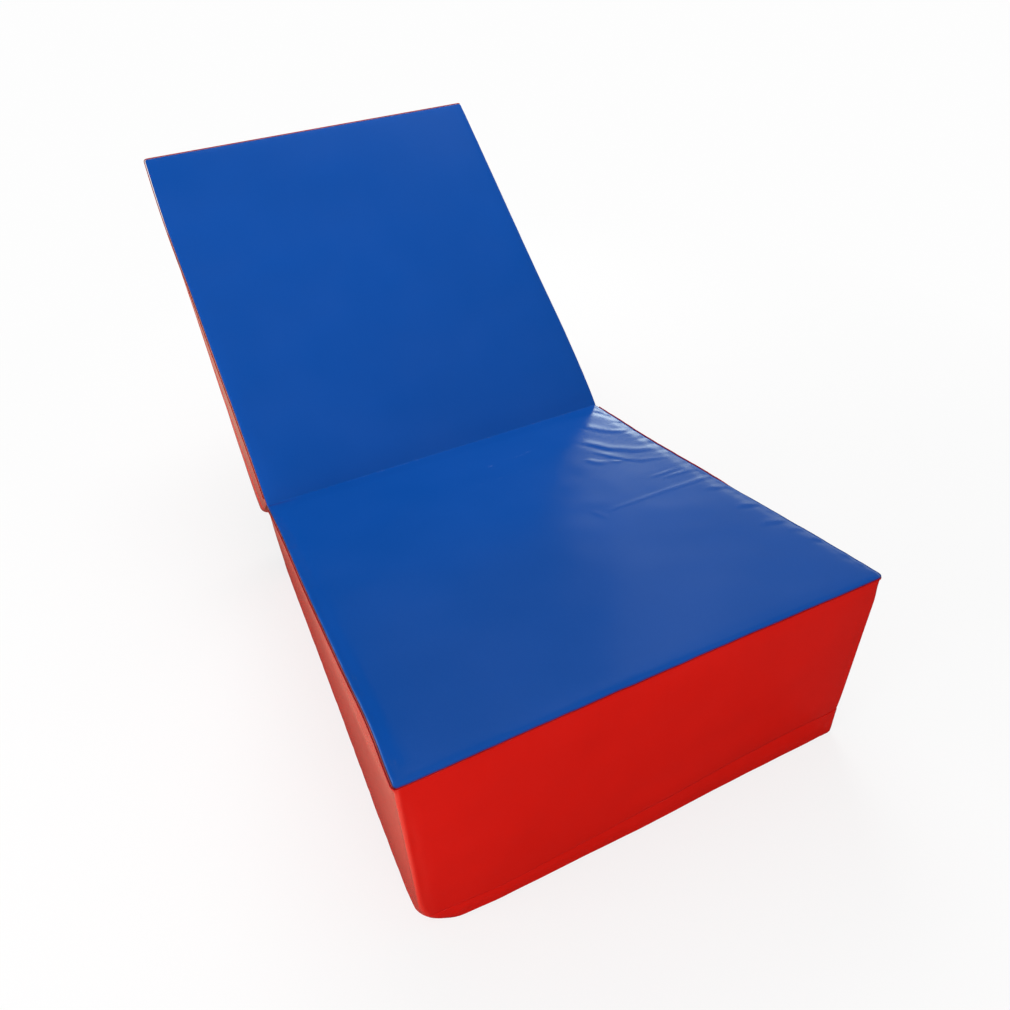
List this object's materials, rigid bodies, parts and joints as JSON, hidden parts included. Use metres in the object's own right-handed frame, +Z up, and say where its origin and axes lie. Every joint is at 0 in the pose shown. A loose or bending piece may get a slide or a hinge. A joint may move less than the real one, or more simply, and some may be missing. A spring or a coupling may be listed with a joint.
{
  "type": "incline wedge mat",
  "caption": "Folding foam incline mat: a thick and a thin wedge half in zipped vinyl covers, joined by a flexible fold along the top so the thin half swings from flat to folded over.",
  "frame": {"origin": "centre of the thick half's base", "axes": "+X across the width, +Y from the high end towards the thin edge, +Z up"},
  "size_m": [0.9032, 1.854, 0.814],
  "materials": {
    "blue_vinyl": "fine-grained PVC-coated fabric, soft gloss",
    "red_vinyl": "fine-grained PVC-coated fabric, soft gloss",
    "red_welt": "folded vinyl seam binding",
    "core_foam": "open cut polyethylene foam",
    "firm_foam": "dense bonded foam",
    "webbing": "woven polyester webbing",
    "zip_tape": "woven zip tape and nylon coil",
    "zip_metal": "nickel-plated zinc"
  },
  "bodies": {
    "thick_half": {"thick_top_panel": "blue_vinyl", "thick_side_wall": "red_vinyl", "thick_end_panel": "red_vinyl", "thick_base_tray": "red_vinyl", "thick_top_welt": "red_welt", "thick_foam_slab": "firm_foam", "thick_foam_core": "core_foam", "thick_foam_layer": "firm_foam", "thick_hinge_web": "webbing", "fold_strip": "blue_vinyl", "thick_zip_tapes": "zip_tape", "thick_zip_coils": "zip_tape", "thick_zip_stops": "zip_metal"},
    "thin_half": {"thin_top_panel": "blue_vinyl", "thin_side_wall": "red_vinyl", "thin_end_panel": "red_vinyl", "thin_base_tray": "red_vinyl", "thin_top_welt": "red_welt", "thin_foam_core": "core_foam", "thin_foam_layer": "firm_foam", "thin_hinge_web": "webbing", "thin_zip_tapes": "zip_tape", "thin_zip_coils": "zip_tape", "thin_zip_stops": "zip_metal"},
    "thick_zip_slider_body": {"thick_zip_slider": "zip_metal"},
    "thick_zip_puller_body": {"thick_zip_puller": "zip_metal"},
    "thin_zip_slider_body": {"thin_zip_slider": "zip_metal"},
    "thin_zip_puller_body": {"thin_zip_puller": "zip_metal"}
  },
  "joints": [
    {"name": "fold", "type": "hinge", "parent": "thick_half", "child": "thin_half", "pos_m": [0, 0.5, 0.233], "axis": [1, 0, 0], "range_deg": [-47, 133]},
    {"name": "thick_zip_slide", "type": "slide", "parent": "thick_half", "child": "thick_zip_slider_body", "axis": [1, 0, 0], "range_m": [0, 0.72]},
    {"name": "thick_puller_swing", "type": "hinge", "parent": "thick_zip_slider_body", "child": "thick_zip_puller_body", "pos_m": [-0.36, 0.4945, 0.073], "axis": [0, 0, 1], "range_deg": [0, 175]},
    {"name": "thin_zip_slide", "type": "slide", "parent": "thin_half", "child": "thin_zip_slider_body", "axis": [1, 0, 0], "range_m": [0, 0.72]},
    {"name": "thin_puller_swing", "type": "hinge", "parent": "thin_zip_slider_body", "child": "thin_zip_puller_body", "pos_m": [-0.36, 0.62077, 0.1279], "axis": [0, 0.7314, -0.682], "range_deg": [0, 175]}
  ]
}
